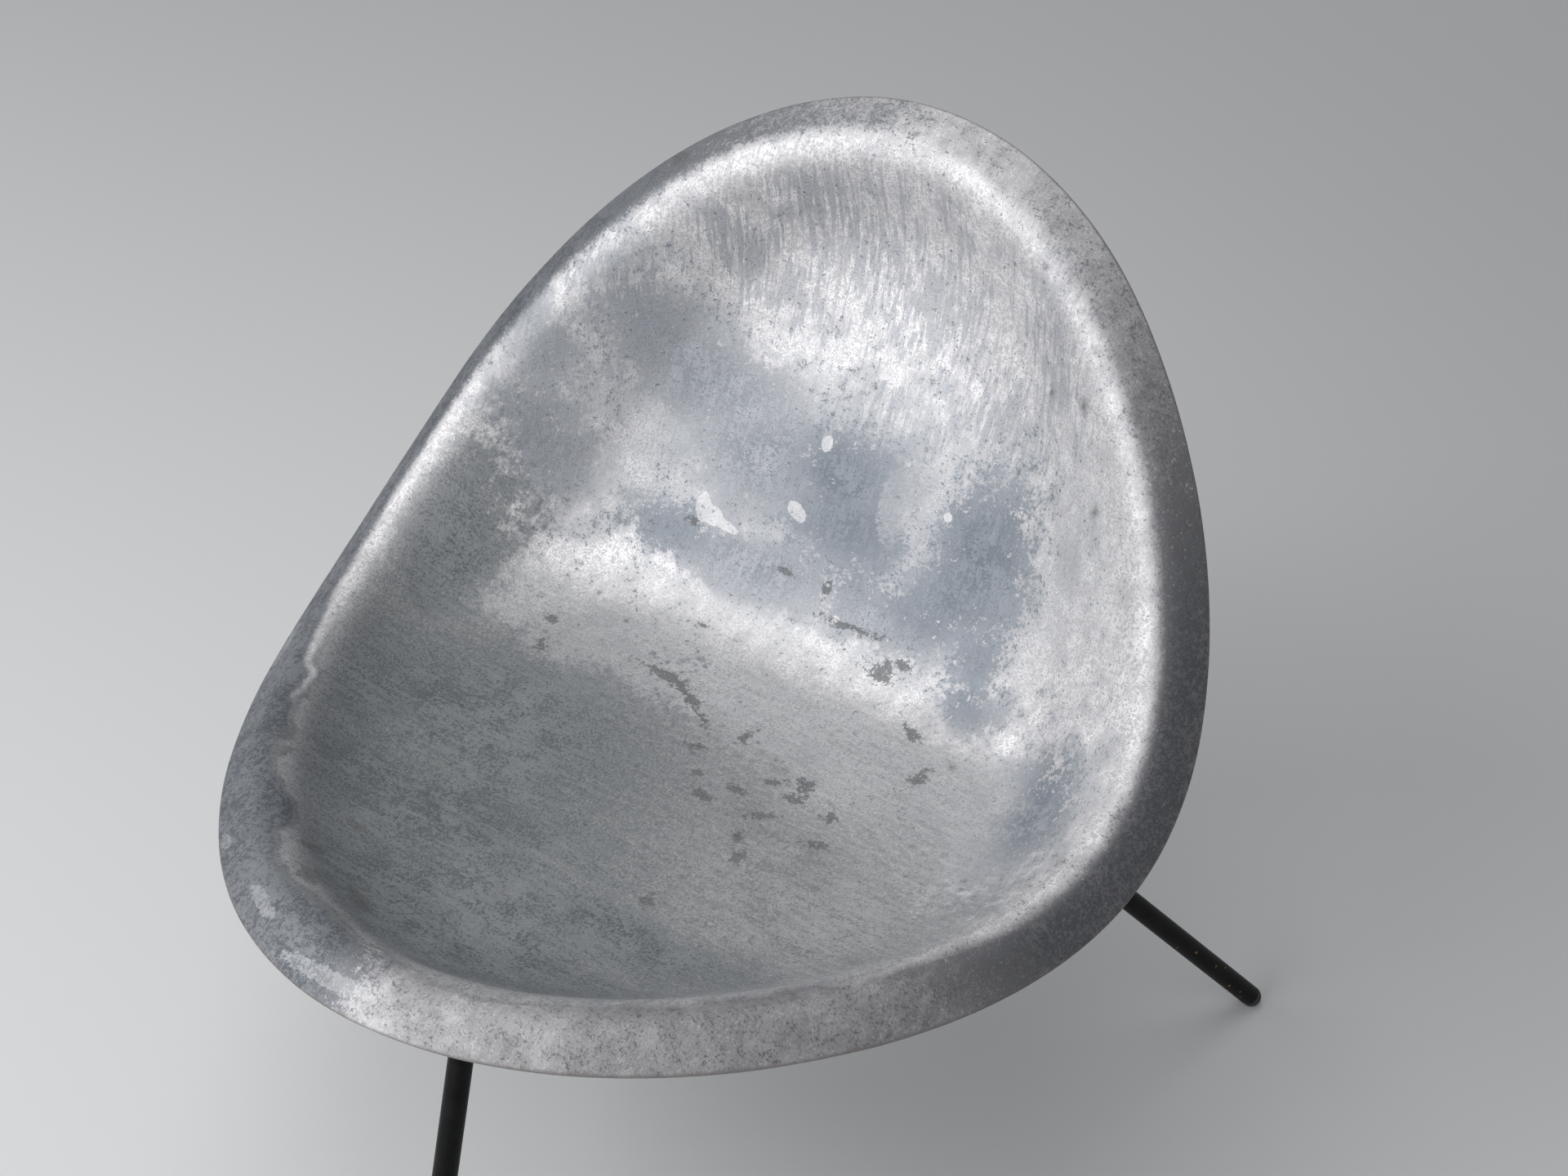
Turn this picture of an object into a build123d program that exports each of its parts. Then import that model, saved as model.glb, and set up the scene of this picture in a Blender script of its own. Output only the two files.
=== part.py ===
from build123d import *
import os
from math import acos, cos, hypot, pi, radians, sin, tan

# An aluminium bucket chair on three round steel legs.
# Millimetres. The floor is z = 0, the sitter faces -Y and +X is the sitter's left hand.
# The origin is on the floor, in the middle of the space that the chair takes up.

# Crest of the rolled rim: how far out it lies and how high, at the front, the sides and the back
crest_half_width = 283.0
crest_egg = 3.5
crest_square = 4.4
crest_front_y = -292.5
crest_side_y = 52.5
crest_back_y = 254.5
crest_roundness = 19.7
crest_front_height = 415.0
crest_side_height = 414.0
crest_back_height = 674.0

# Rolled lip outside the crest, in the local plane of the rim
rim_tilt_front = -11.5
rim_tilt_back = 63.5
lip_radius = 26.0
lip_angle = 44.0
lip_skirt = 19.0
lip_nose = 2.2

# Wall from the crest down into the bucket
wall_shoulder_radius = 24.0
wall_angle = 42.0
wall_foot_radius = 110.0

# Seat and back, which meet in one soft bend; its depth counts from midway between the front and side crests
bend_y = 128.0
bend_depth = 56.5
bend_radius = 70.0
seat_fall = 4.0
back_rise = 63.0
shell_thickness = 5.0

# How fine the net of the shell is, and how far its spine reaches
net_columns = 28
nose_rows = 4
lip_rows = 4
wall_rows = 6
dish_shares = [0.88, 0.75, 0.61, 0.47, 0.33, 0.2, 0.09, 0]
spine_share = 0.75

# Leg mounts under the shell, counted forwards along the seat from the bend
front_mount_reach = 300.5
rear_mount_reach = 24.4
rear_mount_x = 143.5
boss_diameter = 66.0
boss_height = 10.0
boss_draft = 3.0
boss_reach = 60.0
pad_thickness = 2.0
flange_diameter = 62.0
flange_thickness = 5.0
flange_edge_round = 1.0

# Screws through each flange
screw_count = 3
screw_circle = 44.0
screw_diameter = 6.0
screw_head_diameter = 10.5
screw_head_height = 3.3
screw_head_round = 1.5
screw_socket_width = 4.0
screw_socket_depth = 2.0
screw_end_margin = 2.0
thread_runout = 1.0
thread_clearance = 0.2
screw_hole_clearance = 0.6
washer_diameter = 12.0
washer_thickness = 1.6

# Legs and their glides; each leg's centre line meets the floor at its foot
rod_diameter = 16.0
weld_size = 4.0
front_foot_y = -323.0
rear_foot_x = 298.5
rear_foot_y = 326.0
glide_collar = 3.0
glide_flat = 0.6
stem_diameter = 8.0
stem_length = 18.0
stem_clearance = 0.3


def around(front, side, back, third, angle):
    """A smooth value round the rim with given values at the front, the sides and the back."""
    middle = (front + back) / 2
    steady = (middle + side) / 2
    first = (front - back) / 2 - third
    second = (middle - side) / 2
    return steady + first * cos(angle) + second * cos(2 * angle) + third * cos(3 * angle)


def crest(angle):
    """Crest of the rim at an angle counted from the front."""
    x = (crest_half_width + crest_square) * sin(angle)
    x += crest_egg * sin(2 * angle) + crest_square * sin(3 * angle)
    y = around(crest_front_y, crest_side_y, crest_back_y, -crest_roundness, angle)
    z = around(crest_front_height, crest_side_height, crest_back_height, 0, angle)
    return Vector(x, y, z)


def rim_axes(angle):
    """Outward and upward directions of the lip's section at an angle of the rim."""
    share = (1 - cos(angle)) / 2
    share = share * share * (3 - 2 * share)
    tilt = radians(rim_tilt_front + (rim_tilt_back - rim_tilt_front) * share)
    plane_normal = Vector(0, -sin(tilt), cos(tilt))
    step = 0.01
    along = (crest(angle + step) - crest(angle - step)).normalized()
    outward = along.cross(plane_normal).normalized()
    return outward, outward.cross(along)


# The bend lies square to the middle direction between the seat and the back
valley_tilt = radians((back_rise - seat_fall) / 2)
valley_slope = tan(radians((back_rise + seat_fall) / 2))
valley_blend = bend_radius * valley_slope
valley_along = Vector(0, cos(valley_tilt), sin(valley_tilt))
valley_up = Vector(0, -sin(valley_tilt), cos(valley_tilt))
valley_bottom = Vector(0, bend_y, (crest_front_height + crest_side_height) / 2 - bend_depth)


def valley_height(distance):
    """Height of the seat and back above the bottom of the bend, at a distance along the valley."""
    return valley_slope * (hypot(distance, valley_blend) - valley_blend)


def over_valley(point):
    """How far a point lies above the sheet of the seat and back."""
    offset = point - valley_bottom
    return offset.dot(valley_up) - valley_height(offset.dot(valley_along))


def on_valley(point):
    """The point moved square to the valley, on to the sheet of the seat and back."""
    return point - valley_up * over_valley(point)


def along_profile(steps, distance):
    """Run and drop after a distance along a profile that starts level and turns downwards.

    Each step is a length and the turn made over that length.
    """
    run = drop = heading = 0
    for length, turn in steps:
        part = min(distance, length)
        distance -= part
        bend = turn * part / length if length else 0
        if bend:
            radius = part / bend
            run += radius * (sin(heading + bend) - sin(heading))
            drop += radius * (cos(heading) - cos(heading + bend))
        else:
            run += part * cos(heading)
            drop += part * sin(heading)
        heading += bend
    return run, drop


def wall_steps(depth):
    """Steps of the inner wall for a given depth: shoulder, straight and foot."""
    radii = wall_shoulder_radius + wall_foot_radius
    turn = min(radians(wall_angle), acos(max(1 - depth / radii, 0)))
    straight = (depth - radii * (1 - cos(turn))) / sin(turn)
    return [(wall_shoulder_radius * turn, turn), (straight, 0), (wall_foot_radius * turn, -turn)]


def wall_points(angle):
    """The inner wall at an angle of the rim, deep enough to land on the seat or back."""
    start = crest(angle)
    outward, upward = rim_axes(angle)
    depth = over_valley(start)
    for _ in range(8):
        steps = wall_steps(depth)
        length = sum(step[0] for step in steps)
        run, drop = along_profile(steps, length)
        depth += over_valley(start - outward * run - upward * drop) * 0.8
    profile = [along_profile(steps, length * (row + 1) / wall_rows) for row in range(wall_rows)]
    return [start - outward * run - upward * drop for run, drop in profile]


def lip_points(angle):
    """The rolled lip at an angle of the rim, from its edge to its crest."""
    start = crest(angle)
    outward, upward = rim_axes(angle)
    turn = radians(lip_angle)
    steps = [(lip_radius * turn, turn), (lip_skirt, 0)]
    length = lip_radius * turn + lip_skirt
    profile = [along_profile(steps, length * (1 - row / lip_rows)) for row in range(lip_rows + 1)]
    return [start + outward * run - upward * drop for run, drop in profile]


def valley_normal(point):
    """Direction square to the sheet of the seat and back at a point of it."""
    distance = (point - valley_bottom).dot(valley_along)
    slope = valley_slope * distance / hypot(distance, valley_blend)
    return (valley_up - valley_along * slope).normalized()


def mirrored(point):
    """The same point on the other half of the chair."""
    return Vector(-point.X, point.Y, point.Z)


# A net over one half of the shell. Its lines run from the edge of the lip to a spine in the middle plane.
angles = [pi * number / net_columns for number in range(net_columns + 1)]
rim_net = [lip_points(angle) + wall_points(angle) for angle in angles]
rim_rows = lip_rows + 1 + wall_rows
spine_middle = (rim_net[0][-1] + rim_net[-1][-1]) / 2


def dish_points(foot):
    """The seat or back from the foot of the wall to the spine."""
    spine = spine_middle + Vector(0, foot.Y - spine_middle.Y, foot.Z - spine_middle.Z) * spine_share
    return [on_valley(spine + (foot - spine) * share) for share in dish_shares]


dish_net = [dish_points(column[-1]) for column in rim_net]


def rim_normal(column, row):
    """Direction out of the upper skin at one point of the lip or the wall."""
    after = rim_net[column + 1][row] if column < net_columns else mirrored(rim_net[column - 1][row])
    before = rim_net[column - 1][row] if column > 0 else mirrored(rim_net[1][row])
    inner = rim_net[column][row + 1] if row + 1 < rim_rows else dish_net[column][0]
    outer = rim_net[column][max(row - 1, 0)]
    return (after - before).cross(inner - outer).normalized()


def skin_rows(depth):
    """Rows of points of a skin at a depth under the upper face of one half of the shell."""
    columns = range(net_columns + 1)
    rows = [[rim_net[c][r] - rim_normal(c, r) * depth for c in columns] for r in range(rim_rows)]
    dish = range(len(dish_shares))
    return rows + [[dish_net[c][r] - valley_normal(dish_net[c][r]) * depth for c in columns] for r in dish]


def net_wire(points):
    """A curve through one row of the net that crosses the middle plane square to it."""
    start = Vector(points[1].X / angles[1], 0, 0)
    finish = Vector(-points[-2].X / angles[1], 0, 0)
    on_spine = start.length < 0.001
    tangents = None if on_spine else [start, finish]
    return Wire([Edge.make_spline(points, tangents=tangents, parameters=angles, scale=False)])


def nose_points(turn):
    """The rounded edge of the lip, after a turn from the upper face towards the lower face."""
    points = []
    for column in range(net_columns + 1):
        edge = rim_net[column][0]
        normal = rim_normal(column, 0)
        outward = (edge - rim_net[column][1]).normalized()
        middle = edge - normal * (shell_thickness / 2)
        points.append(middle + normal * (shell_thickness / 2 * cos(turn)) + outward * (lip_nose * sin(turn)))
    return points


def both_halves(half_faces):
    """One shell from the faces of a half and their mirror images."""
    return Shell(Face.sew_faces(half_faces + [face.mirror(Plane.YZ) for face in half_faces])[0])


def loft_rows(rows):
    """Faces of a smooth loft through rows of points."""
    return Shell.make_loft([net_wire(points) for points in rows]).faces()


upper_faces = loft_rows(skin_rows(0))
lower_faces = loft_rows(skin_rows(shell_thickness))
edge_faces = loft_rows([nose_points(pi * row / nose_rows) for row in range(nose_rows + 1)])
bucket = Solid(both_halves(upper_faces + lower_faces + edge_faces))
middle_skin = both_halves(loft_rows(skin_rows(shell_thickness / 2)))


def leg_mount(x, reach, foot):
    """Plane of a boss face under the shell. It looks away from the shell, with X towards the leg's foot."""
    on_sheet = valley_bottom - valley_along * reach + valley_up * valley_height(reach)
    normal = valley_normal(on_sheet)
    face = Vector(x, 0, 0) + on_sheet - normal * (shell_thickness + boss_height)
    lean = foot - face
    return Plane(face, x_dir=lean - normal * lean.dot(normal), z_dir=-normal)


feet = {
    "front": Vector(0, front_foot_y, 0),
    "rear_left": Vector(rear_foot_x, rear_foot_y, 0),
    "rear_right": Vector(-rear_foot_x, rear_foot_y, 0),
}
mounts = {
    "front": leg_mount(0, front_mount_reach, feet["front"]),
    "rear_left": leg_mount(rear_mount_x, rear_mount_reach, feet["rear_left"]),
    "rear_right": leg_mount(-rear_mount_x, rear_mount_reach, feet["rear_right"]),
}
screw_turn = 180 / screw_count
thread_length = boss_height - screw_end_margin
flange_level = pad_thickness
washer_level = flange_level + flange_thickness
head_level = washer_level + washer_thickness

# Bosses, cut off inside the thickness of the shell
bosses = []
for mount in mounts.values():
    with BuildPart() as boss:
        with BuildSketch(mount):
            Circle(boss_diameter / 2)
        extrude(amount=-boss_reach, taper=-boss_draft)
    bosses.append(boss.part.split(middle_skin, keep=Keep.ALL).sort_by(Axis.Z)[0])

# Seat and back in one casting, with its bosses and their screw holes
with BuildPart() as seat_shell:
    add(bucket)
    add(bosses)
    for mount in mounts.values():
        with BuildSketch(mount):
            with PolarLocations(screw_circle / 2, screw_count, start_angle=screw_turn):
                Circle((screw_diameter + thread_clearance) / 2)
        extrude(amount=-(thread_length + thread_runout), mode=Mode.SUBTRACT)
seat_shell.part.label = "seat_shell"
pieces = [seat_shell.part]


def keep_piece(part, label):
    """Name a finished piece and keep it for writing."""
    part.label = label
    pieces.append(part)


for side, mount in mounts.items():
    # Pad between the aluminium boss and the steel flange
    with BuildPart() as pad:
        with BuildSketch(mount):
            Circle(flange_diameter / 2)
            with PolarLocations(screw_circle / 2, screw_count, start_angle=screw_turn):
                Circle((screw_diameter + screw_hole_clearance) / 2, mode=Mode.SUBTRACT)
        extrude(amount=pad_thickness)
    keep_piece(pad.part, f"pad_{side}")

    # Flange at the top of the leg
    with BuildPart() as flange:
        with BuildSketch(mount.offset(flange_level)):
            Circle(flange_diameter / 2)
            with PolarLocations(screw_circle / 2, screw_count, start_angle=screw_turn):
                Circle((screw_diameter + screw_hole_clearance) / 2, mode=Mode.SUBTRACT)
        extrude(amount=flange_thickness)
        rims = flange.edges().filter_by(GeomType.CIRCLE).sort_by(SortBy.RADIUS)[-2:]
        fillet(rims, radius=min(flange_edge_round, flange_thickness / 3))
    keep_piece(flange.part, f"flange_{side}")

    # Washers under the screw heads
    with BuildPart() as washers:
        with BuildSketch(mount.offset(washer_level)):
            with PolarLocations(screw_circle / 2, screw_count, start_angle=screw_turn):
                Circle(washer_diameter / 2)
                Circle((screw_diameter + screw_hole_clearance) / 2, mode=Mode.SUBTRACT)
        extrude(amount=washer_thickness)
    keep_piece(washers.part, f"washers_{side}")

    # Button-head screws from below into the boss
    with BuildPart() as screws:
        with BuildSketch(mount.offset(head_level)):
            with PolarLocations(screw_circle / 2, screw_count, start_angle=screw_turn):
                Circle(screw_head_diameter / 2)
        extrude(amount=screw_head_height)
        crowns = screws.edges().group_by(Axis(mount.origin, mount.z_dir))[-1]
        fillet(crowns, radius=min(screw_head_round, screw_head_height / 2))
        with BuildSketch(mount.offset(head_level + screw_head_height)):
            with PolarLocations(screw_circle / 2, screw_count, start_angle=screw_turn):
                RegularPolygon(screw_socket_width / 2, 6, major_radius=False)
        extrude(amount=-screw_socket_depth, mode=Mode.SUBTRACT)
        with BuildSketch(mount.offset(head_level)):
            with PolarLocations(screw_circle / 2, screw_count, start_angle=screw_turn):
                Circle(screw_diameter / 2)
        extrude(amount=-(head_level + thread_length))
    keep_piece(screws.part, f"screws_{side}")

    # Where the leg starts, which way it runs and where its glide takes over
    rod_radius = rod_diameter / 2
    stem_radius = stem_diameter / 2
    top_plane = mount.offset(washer_level)
    down = (feet[side] - top_plane.origin).normalized()
    across = Vector(-down.Y, down.X, 0)
    dome_centre = feet[side] + down * ((rod_radius - glide_flat) / down.Z)
    glide_top = Plane(dome_centre - down * glide_collar, x_dir=across, z_dir=down)

    # Leg: a round rod with its weld at the flange and a blind hole for the glide's stem
    lean_share = down.dot(top_plane.z_dir)
    weld_end = top_plane.origin + down * (weld_size / lean_share)
    with BuildPart() as leg:
        with BuildSketch(glide_top):
            Circle(rod_radius)
        extrude(amount=-(glide_top.origin - top_plane.origin).length - rod_diameter)
        split(bisect_by=top_plane, keep=Keep.TOP)
        with BuildSketch(top_plane):
            Ellipse(rod_radius / lean_share + weld_size, rod_radius + weld_size)
        with BuildSketch(Plane(weld_end, x_dir=top_plane.x_dir, z_dir=top_plane.z_dir)):
            Ellipse(rod_radius / lean_share, rod_radius)
        loft()
        with BuildSketch(glide_top):
            Circle(stem_radius + stem_clearance / 2)
        extrude(amount=-(stem_length + stem_clearance), mode=Mode.SUBTRACT)
    keep_piece(leg.part, f"leg_{side}")

    # Glide: the rounded end of the leg, worn flat where it stands on the floor
    with BuildPart() as glide:
        with BuildSketch(Plane(glide_top.origin, x_dir=across, z_dir=across.cross(down))):
            with BuildLine():
                Polyline(
                    (0, glide_collar + rod_radius),
                    (0, -stem_length),
                    (stem_radius, -stem_length),
                    (stem_radius, 0),
                    (rod_radius, 0),
                    (rod_radius, glide_collar),
                )
                CenterArc((0, glide_collar), rod_radius, 0, 90)
            make_face()
        revolve(axis=Axis(glide_top.origin, down))
        split(bisect_by=Plane.XY, keep=Keep.TOP)
    keep_piece(glide.part, f"glide_{side}")

os.makedirs("parts", exist_ok=True)
for piece in pieces:
    export_step(piece, f"parts/{piece.label}.step")
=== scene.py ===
# %% [markdown]
# # A cast aluminium bucket chair on three legs
# The chair is one thin shell of cast aluminium, seat and back together, on three splayed legs of black
# steel rod. The CAD model holds every piece at its real size. Here each piece gets its finish, and the
# shell gets a finer skin, because its worn, cloudy surface is what the eye sees first.

# %% Load the chair
import math
import bpy
import numpy as np
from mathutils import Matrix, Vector, noise
from mathutils.bvhtree import BVHTree


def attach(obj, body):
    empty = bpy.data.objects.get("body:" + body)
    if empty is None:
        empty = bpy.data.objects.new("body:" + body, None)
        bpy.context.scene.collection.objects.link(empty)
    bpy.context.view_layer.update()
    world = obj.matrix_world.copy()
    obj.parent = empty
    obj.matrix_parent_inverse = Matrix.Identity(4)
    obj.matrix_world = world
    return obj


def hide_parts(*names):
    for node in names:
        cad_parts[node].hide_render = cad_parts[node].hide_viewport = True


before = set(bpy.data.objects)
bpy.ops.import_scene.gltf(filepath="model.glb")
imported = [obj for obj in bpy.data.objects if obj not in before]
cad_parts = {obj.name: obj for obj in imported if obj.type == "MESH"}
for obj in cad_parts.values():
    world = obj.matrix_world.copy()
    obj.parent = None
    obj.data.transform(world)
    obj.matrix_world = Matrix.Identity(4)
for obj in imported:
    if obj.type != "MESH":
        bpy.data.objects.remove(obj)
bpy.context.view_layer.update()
scene = bpy.context.scene
scene.view_settings.view_transform = "Standard"

# %% [markdown]
# ## The camera
# The camera stands in front of the chair, off to one side, and looks down at it. A lens of about 55 mm
# gives the mild perspective of the photograph. The place and the two angles were found by laying the CAD
# outline over the picture until rim and legs fell on their lines.

# %% Camera
camera_data = bpy.data.cameras.new("photo_camera")
camera_data.sensor_fit = "HORIZONTAL"
camera_data.sensor_width = 36.0
camera_data.lens = 55.47
camera = bpy.data.objects.new("photo_camera", camera_data)
camera.location = (0.7145, -0.9400, 1.4074)
camera.rotation_euler = (math.radians(52), 0, math.radians(34.167))
scene.collection.objects.link(camera)
scene.camera = camera
print("camera height:", round(camera.location.z, 3), "m")

# %% [markdown]
# ## The shell: the line of its rim
# The shell could keep its CAD mesh, but that one is made of long triangles, and a worn casting needs
# small dents and marks all over. So the same shape is drawn again as a net of even quads, in millimetres.
# First comes the crest of the rolled rim, an egg-shaped loop that climbs from the front edge to the top
# of the back.

# %% Crest of the rim
COLUMNS = 144
CREST_HALF_WIDTH, CREST_EGG, CREST_SQUARE = 283.0, 3.5, 4.4
CREST_Y, CREST_ROUNDNESS = (-292.5, 52.5, 254.5), -19.7
CREST_HEIGHTS = (415, 414, 674)
turn = np.linspace(0, 2 * math.pi, COLUMNS, endpoint=False)


def around(front, side, back, third=0.0):
    """A smooth value round the rim with given values at the front, the sides and the back."""
    middle = (front + back) / 2
    steady = (middle + side) / 2
    first = (front - back) / 2 - third
    second = (middle - side) / 2
    return steady + first * np.cos(turn) + second * np.cos(2 * turn) + third * np.cos(3 * turn)


crest_x = (CREST_HALF_WIDTH + CREST_SQUARE) * np.sin(turn) + CREST_EGG * np.sin(2 * turn)
crest_x = crest_x + CREST_SQUARE * np.sin(3 * turn)
crest = np.stack([crest_x, around(*CREST_Y, CREST_ROUNDNESS), around(*CREST_HEIGHTS)], 1)
print("crest reaches from", crest.min(0).round(), "to", crest.max(0).round(), "mm")

# %% [markdown]
# ## The shell: the section of the rim
# At every place of the crest the rim leans a little differently: almost level at the front, steep at the
# back. Two directions hold that lean, one pointing out of the chair and one up out of the rim.

# %% Directions of the rim
def unit(vectors):
    """The same directions with length one."""
    return vectors / np.linalg.norm(vectors, axis=-1, keepdims=True)


FRONT_TILT, TILT_RISE = -11.5, 75.0
share = (1 - np.cos(turn)) / 2
share = share * share * (3 - 2 * share)
tilt = np.radians(FRONT_TILT + TILT_RISE * share)
level = np.stack([np.zeros(COLUMNS), -np.sin(tilt), np.cos(tilt)], 1)
along = unit(np.roll(crest, -1, 0) - np.roll(crest, 1, 0))
outward = unit(np.cross(along, level))
upward = np.cross(outward, along)
print("rim leans from", round(math.degrees(tilt.min())), "to", round(math.degrees(tilt.max())), "degrees")

# %% [markdown]
# ## The shell: seat and back
# Seat and back are one sheet with a soft bend across the chair. The sheet is a valley seen from the side,
# so a single height formula describes it, and any point can be dropped on to it.

# %% The valley of seat and back
BEND_Y, BEND_HEIGHT, BEND_REACH = 128.0, 358.0, 70.0
valley_lean = math.radians(29.5)
valley_slope = math.tan(math.radians(33.5))
valley_blend = BEND_REACH * valley_slope
valley_along = np.array([0, math.cos(valley_lean), math.sin(valley_lean)])
valley_up = np.array([0, -math.sin(valley_lean), math.cos(valley_lean)])
valley_bottom = np.array([0, BEND_Y, BEND_HEIGHT])


def valley_height(distance):
    """Height of the sheet above the bottom of the bend, at a distance along the valley."""
    return valley_slope * (np.hypot(distance, valley_blend) - valley_blend)


def over_valley(points):
    """How far points lie above the sheet of the seat and back."""
    offset = points - valley_bottom
    return offset @ valley_up - valley_height(offset @ valley_along)


def on_valley(points):
    """Points moved on to the sheet of the seat and back."""
    return points - over_valley(points)[..., None] * valley_up


print("seat and back open by", round(180 - 2 * math.degrees(math.atan(valley_slope))), "degrees")

# %% [markdown]
# ## The shell: from the rim into the bucket
# The wall leaves the crest over a tight shoulder, falls straight for a while and lands on the seat or back
# with a wide foot. How long the straight part is depends on how deep the bucket is just there, so the
# depth is found step by step.

# %% Wall of the bucket
SHOULDER, FOOT, STEEPEST = 24.0, 110.0, math.radians(42.0)
WALL_ROWS = 14
DEPTH_ROUNDS, DEPTH_STEP = 8, 0.8


def wall_shape(depth):
    """Turn and straight length of the wall for a depth."""
    bend = np.minimum(STEEPEST, np.arccos(np.maximum(1 - depth / (SHOULDER + FOOT), 0)))
    return bend, (depth - (SHOULDER + FOOT) * (1 - np.cos(bend))) / np.sin(bend)


depth = over_valley(crest)
for _ in range(DEPTH_ROUNDS):
    bend, straight = wall_shape(depth)
    run = (SHOULDER + FOOT) * np.sin(bend) + straight * np.cos(bend)
    depth = depth + DEPTH_STEP * over_valley(crest - outward * run[:, None] - upward * depth[:, None])
bend, straight = wall_shape(depth)
wall_length = (SHOULDER + FOOT) * bend + straight


def wall_row(distance):
    """One row of the wall at a distance from the crest, given for every column."""
    first = np.minimum(distance, SHOULDER * bend) / SHOULDER
    middle = np.clip(distance - SHOULDER * bend, 0, straight)
    last = np.maximum(distance - SHOULDER * bend - straight, 0) / FOOT
    run = SHOULDER * np.sin(first) + middle * np.cos(bend) + FOOT * (np.sin(bend) - np.sin(bend - last))
    drop = SHOULDER * (1 - np.cos(first)) + middle * np.sin(bend)
    drop = drop + FOOT * (np.cos(bend - last) - np.cos(bend))
    return crest - outward * run[:, None] - upward * drop[:, None]


wall_rows = [wall_row(wall_length * row / WALL_ROWS) for row in range(1, WALL_ROWS + 1)]
print("wall between", round(wall_length.min()), "and", round(wall_length.max()), "mm long")

# %% [markdown]
# ## The shell: the rolled lip
# Outside the crest the metal rolls over and ends in a short straight skirt. Two rows close together near
# the edge keep that edge crisp when the net is rounded later.

# %% Lip
LIP_RADIUS, LIP_TURN, LIP_SKIRT = 26.0, math.radians(44.0), 20.4
lip_length = LIP_RADIUS * LIP_TURN + LIP_SKIRT


def lip_row(distance):
    """One row of the lip at a distance outside the crest."""
    arc = min(distance / LIP_RADIUS, LIP_TURN)
    rest = max(distance - LIP_RADIUS * LIP_TURN, 0)
    run = LIP_RADIUS * math.sin(arc) + rest * math.cos(LIP_TURN)
    drop = LIP_RADIUS * (1 - math.cos(arc)) + rest * math.sin(LIP_TURN)
    return crest + outward * run - upward * drop


lip_distances = [lip_length, lip_length - 2.5, 31.0, 23.0, 15.0, 7.5, 0.0]
lip_rows = [lip_row(distance) for distance in lip_distances]
print("lip", round(lip_length), "mm wide")

# %% [markdown]
# ## The shell: the dish
# From the foot of the wall the net runs inwards to a spine in the middle of the chair. Both halves meet
# there, so the points of the last row are shared by two columns. A few rounds of averaging soften the
# line where the wall lands.

# %% Dish
DISH_ROWS, SPINE_SHARE = 16, 0.75
SOFTENING_ROUNDS = 8
foot = wall_rows[-1]
spine_middle = (foot[0] + foot[COLUMNS // 2]) / 2
spine = spine_middle + (foot - spine_middle) * [0, SPINE_SHARE, SPINE_SHARE]
shares = [1 - row / DISH_ROWS for row in range(1, DISH_ROWS + 1)]
dish_rows = [on_valley(spine + (foot - spine) * part) for part in shares]
upper = np.array(lip_rows + wall_rows + dish_rows)
near_foot = slice(len(lip_rows) + 8, len(lip_rows) + WALL_ROWS + 6)
for _ in range(SOFTENING_ROUNDS):
    smooth = (np.roll(upper, 1, 0) + 2 * upper + np.roll(upper, -1, 0)) / 4
    upper[near_foot] = smooth[near_foot]
print("upper net:", upper.shape[0], "rows of", upper.shape[1])

# %% [markdown]
# ## The shell: thickness and the finished net
# The casting is 5 mm thick. A second net lies that far below the first, and the two are joined around the
# edge of the lip. The rows are kept in one list, from the spine of the underside out to the lip and back
# to the spine on top. Every point also remembers how far from the lip's edge it is, and on which side, for
# the finish later.

# %% Closed net
THICKNESS = 5.0
across = np.roll(upper, -1, 1) - np.roll(upper, 1, 1)
inwards = np.concatenate([upper[1:2] - upper[:1], upper[2:] - upper[:-2], upper[-1:] - upper[-2:-1]])
normals = unit(np.cross(across, inwards))
normals[-1] = normals[-2]
lower = upper - normals * THICKNESS
lower[-1, :, 0] = 0
steps = np.linalg.norm(np.diff(upper, axis=0), axis=2)
from_edge = np.concatenate([np.zeros((1, COLUMNS)), np.cumsum(steps, 0)])
net = np.concatenate([lower[::-1], upper])
edge_distance = np.concatenate([from_edge[::-1], from_edge])
underside = np.concatenate([np.ones_like(from_edge), np.zeros_like(from_edge)])
print("closed net:", len(net), "rows")

# %% [markdown]
# ## The shell: from net to skin
# Subdivision turns the net into a smooth skin. It is worked out once and kept as a plain mesh, so that
# single points can be moved and marked afterwards. The two halves are welded along the spine first.

# %% Skin
def keep_values(mesh, name, values):
    """Store one number for every point of a mesh, for its finish to read."""
    layer = mesh.attributes.get(name) or mesh.attributes.new(name, "FLOAT", "POINT")
    layer.data.foreach_set("value", np.asarray(values, dtype=np.float32).ravel())


index = np.arange(net.size // 3).reshape(net.shape[:2])
beside = np.roll(index, -1, 1)
quads = np.stack([index[:-1], index[1:], beside[1:], beside[:-1]], 2).reshape(-1, 4)
cage = bpy.data.meshes.new("shell_net")
cage.from_pydata((net.reshape(-1, 3) / 1000).tolist(), [], quads.tolist())
keep_values(cage, "edge_distance", edge_distance)
keep_values(cage, "underside", underside)
shell = bpy.data.objects.new("seat_shell_skin", cage)
scene.collection.objects.link(shell)
weld = shell.modifiers.new("weld_spine", "WELD")
weld.merge_threshold = 0.00005
rounding = shell.modifiers.new("rounding", "SUBSURF")
rounding.levels = rounding.render_levels = 2
skin = bpy.data.meshes.new_from_object(shell.evaluated_get(bpy.context.evaluated_depsgraph_get()))
shell.modifiers.clear()
shell.data = skin
skin.polygons.foreach_set("use_smooth", [True] * len(skin.polygons))
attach(shell, "root")
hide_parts("seat_shell")
print("skin:", len(skin.vertices), "points,", len(skin.polygons), "faces")

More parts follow.
